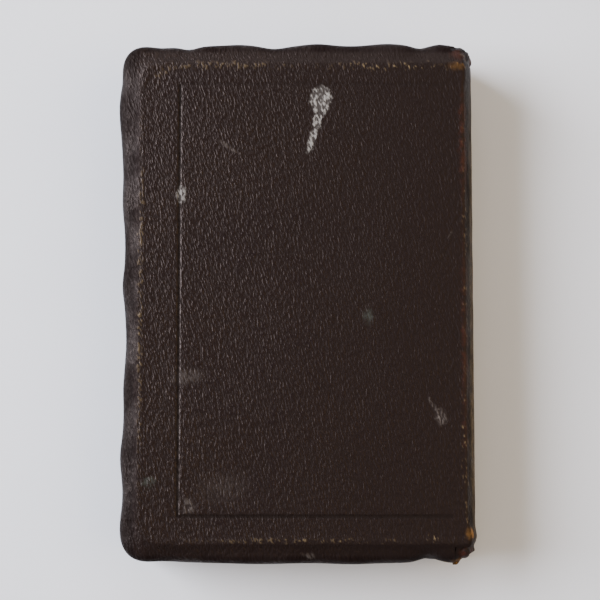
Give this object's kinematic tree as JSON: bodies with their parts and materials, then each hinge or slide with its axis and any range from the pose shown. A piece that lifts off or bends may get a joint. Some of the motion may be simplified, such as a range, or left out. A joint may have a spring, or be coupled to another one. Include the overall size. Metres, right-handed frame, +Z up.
{
  "type": "prayer book",
  "caption": "Small thick prayer book in limp grained leather with drooping yapp edges and a rounded spine; both covers open and the pages turn.",
  "frame": {"origin": "centre of the base of the bounding box, with the closed book lying on its front cover", "axes": "+X from the fore-edge to the spine, +Y from tail to head, +Z up from the front cover to the back cover"},
  "size_m": [0.0958, 0.139, 0.0231],
  "materials": {
    "cover_leather": "dark brown pebbled leather, rubbed tan at the edges",
    "cover_board": "plain millboard",
    "infill_card": "plain card",
    "endpaper": "aged wove paper",
    "text_paper": "aged thin printing paper",
    "lining_paper": "brown lining paper",
    "mull_cloth": "open-weave starched cotton",
    "tape_linen": "plain-weave linen tape",
    "thread_linen": "twisted linen thread",
    "band_silk": "sewn silk bands in two colours"
  },
  "bodies": {
    "front_block": {"section_01": "text_paper", "section_02": "text_paper", "section_03": "text_paper", "section_04": "text_paper", "section_05": "text_paper", "section_06": "text_paper", "section_07": "text_paper", "section_08": "text_paper", "spine_leather": "cover_leather", "spine_lining": "lining_paper", "mull": "mull_cloth", "sewing_tapes": "tape_linen", "sewing_thread": "thread_linen", "head_band": "band_silk", "tail_band": "band_silk"},
    "back_block": {"section_09": "text_paper", "section_10": "text_paper", "section_11": "text_paper", "section_12": "text_paper", "section_13": "text_paper", "section_14": "text_paper", "section_15": "text_paper", "section_16": "text_paper"},
    "front_cover": {"front_leather": "cover_leather", "front_board": "cover_board", "front_infill": "infill_card", "front_pastedown": "endpaper"},
    "back_cover": {"back_leather": "cover_leather", "back_board": "cover_board", "back_infill": "infill_card", "back_pastedown": "endpaper"},
    "front_flyleaf": {"front_flyleaf": "endpaper"},
    "back_flyleaf": {"back_flyleaf": "endpaper"},
    "leaf_1": {"leaf_1": "text_paper"},
    "leaf_2": {"leaf_2": "text_paper"},
    "leaf_3": {"leaf_3": "text_paper"},
    "leaf_4": {"leaf_4": "text_paper"},
    "leaf_5": {"leaf_5": "text_paper"},
    "leaf_6": {"leaf_6": "text_paper"}
  },
  "joints": [
    {"name": "front_cover_hinge", "type": "hinge", "parent": "front_block", "child": "front_cover", "pos_m": [0.04588, 0, -0.00015], "axis": [0, -1, 0], "range_deg": [0, 178], "deforming": ["spine_leather", "mull"]},
    {"name": "middle_opening", "type": "hinge", "parent": "front_block", "child": "back_block", "pos_m": [0.0479, 0, 0.01153], "axis": [0, 1, 0], "range_deg": [0, 178], "deforming": ["spine_leather", "spine_lining", "mull", "sewing_tapes", "sewing_thread", "head_band", "tail_band"]},
    {"name": "back_cover_hinge", "type": "hinge", "parent": "back_block", "child": "back_cover", "pos_m": [0.04588, 0, 0.0232], "axis": [0, 1, 0], "range_deg": [0, 178], "deforming": ["spine_leather", "mull"]},
    {"name": "front_flyleaf_turn", "type": "hinge", "parent": "front_block", "child": "front_flyleaf", "pos_m": [0.04588, 0, -0.00015], "axis": [0, -1, 0], "range_deg": [0, 168]},
    {"name": "back_flyleaf_turn", "type": "hinge", "parent": "back_block", "child": "back_flyleaf", "pos_m": [0.04588, 0, 0.0232], "axis": [0, 1, 0], "range_deg": [0, 168]},
    {"name": "leaf_1_turn", "type": "hinge", "parent": "front_block", "child": "leaf_1", "pos_m": [0.0479, 0, 0.01153], "axis": [0, 1, 0], "range_deg": [0, 26.43]},
    {"name": "leaf_2_turn", "type": "hinge", "parent": "front_block", "child": "leaf_2", "pos_m": [0.0479, 0, 0.01153], "axis": [0, 1, 0], "range_deg": [0, 51.86]},
    {"name": "leaf_3_turn", "type": "hinge", "parent": "front_block", "child": "leaf_3", "pos_m": [0.0479, 0, 0.01153], "axis": [0, 1, 0], "range_deg": [0, 77.29]},
    {"name": "leaf_4_turn", "type": "hinge", "parent": "front_block", "child": "leaf_4", "pos_m": [0.0479, 0, 0.01153], "axis": [0, 1, 0], "range_deg": [0, 102.71]},
    {"name": "leaf_5_turn", "type": "hinge", "parent": "front_block", "child": "leaf_5", "pos_m": [0.0479, 0, 0.01153], "axis": [0, 1, 0], "range_deg": [0, 128.14]},
    {"name": "leaf_6_turn", "type": "hinge", "parent": "front_block", "child": "leaf_6", "pos_m": [0.0479, 0, 0.01153], "axis": [0, 1, 0], "range_deg": [0, 153.57]}
  ],
  "couplings": [
    {"joint": "front_flyleaf_turn", "follows": "front_cover_hinge", "ratio": 0.94},
    {"joint": "back_flyleaf_turn", "follows": "back_cover_hinge", "ratio": 0.94},
    {"joint": "leaf_1_turn", "follows": "middle_opening", "ratio": 0.14286},
    {"joint": "leaf_2_turn", "follows": "middle_opening", "ratio": 0.28571},
    {"joint": "leaf_3_turn", "follows": "middle_opening", "ratio": 0.42857},
    {"joint": "leaf_4_turn", "follows": "middle_opening", "ratio": 0.57143},
    {"joint": "leaf_5_turn", "follows": "middle_opening", "ratio": 0.71429},
    {"joint": "leaf_6_turn", "follows": "middle_opening", "ratio": 0.85714}
  ]
}
